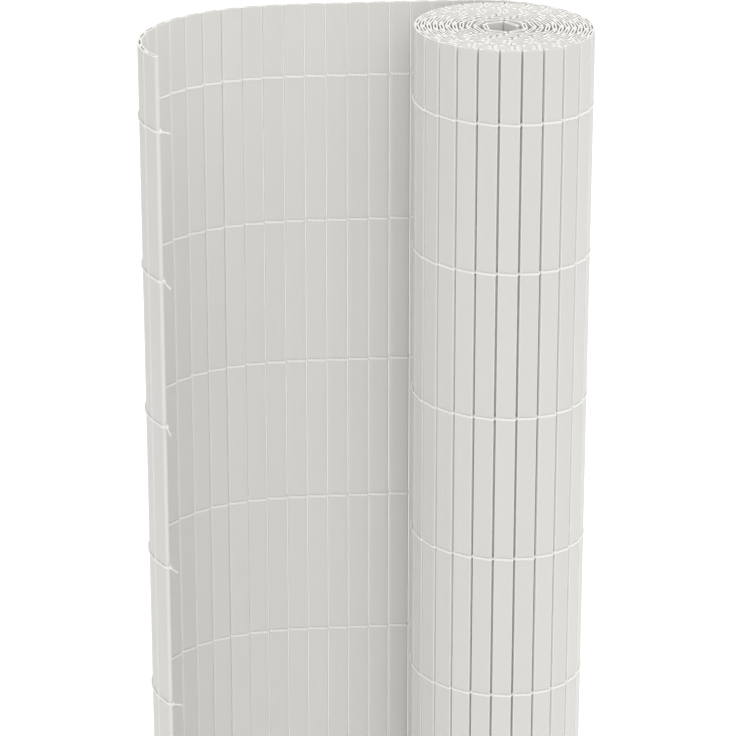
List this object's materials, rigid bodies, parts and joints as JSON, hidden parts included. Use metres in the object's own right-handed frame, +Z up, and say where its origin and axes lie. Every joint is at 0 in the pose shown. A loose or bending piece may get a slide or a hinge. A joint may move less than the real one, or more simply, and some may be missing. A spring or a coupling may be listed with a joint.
{
  "type": "pvc privacy screen",
  "caption": "White hollow PVC slats woven together with rows of cord, standing on end as a roll with its free end unrolled in a curve; screens a fence or balcony from view.",
  "frame": {"origin": "middle of the bounding box at the slats' feet", "axes": "+Z up along the slats, +X from the loose tail towards the roll, -Y towards the viewer"},
  "size_m": [0.296, 0.1578, 0.9],
  "materials": {
    "pvc": "satin",
    "cord": "matte"
  },
  "bodies": {
    "root": {"cord_row_1": "cord", "cord_row_2": "cord", "cord_row_3": "cord", "cord_row_4": "cord", "cord_row_5": "cord", "cord_row_6": "cord", "cord_row_7": "cord", "cord_row_8": "cord", "cord_row_9": "cord", "roll_turn_01": "pvc", "roll_turn_02": "pvc", "roll_turn_03": "pvc", "roll_turn_04": "pvc", "roll_turn_05": "pvc", "roll_turn_06": "pvc", "roll_turn_07": "pvc", "roll_turn_08": "pvc", "roll_turn_09": "pvc", "roll_turn_10": "pvc", "roll_turn_11": "pvc", "roll_turn_12": "pvc", "tail_slat_01": "pvc", "tail_slat_02": "pvc", "tail_slat_03": "pvc", "tail_slat_04": "pvc", "tail_slat_05": "pvc", "tail_slat_06": "pvc", "tail_slat_07": "pvc", "tail_slat_08": "pvc", "tail_slat_09": "pvc", "tail_slat_10": "pvc", "tail_slat_11": "pvc", "tail_slat_12": "pvc", "tail_slat_13": "pvc", "tail_slat_14": "pvc", "tail_slat_15": "pvc", "tail_slat_16": "pvc", "tail_slat_17": "pvc", "tail_slat_18": "pvc", "tail_slat_19": "pvc", "tail_slat_20": "pvc", "tail_slat_21": "pvc", "tail_slat_22": "pvc", "tail_slat_23": "pvc", "tail_slat_24": "pvc", "tail_slat_25": "pvc"}
  },
  "joints": []
}
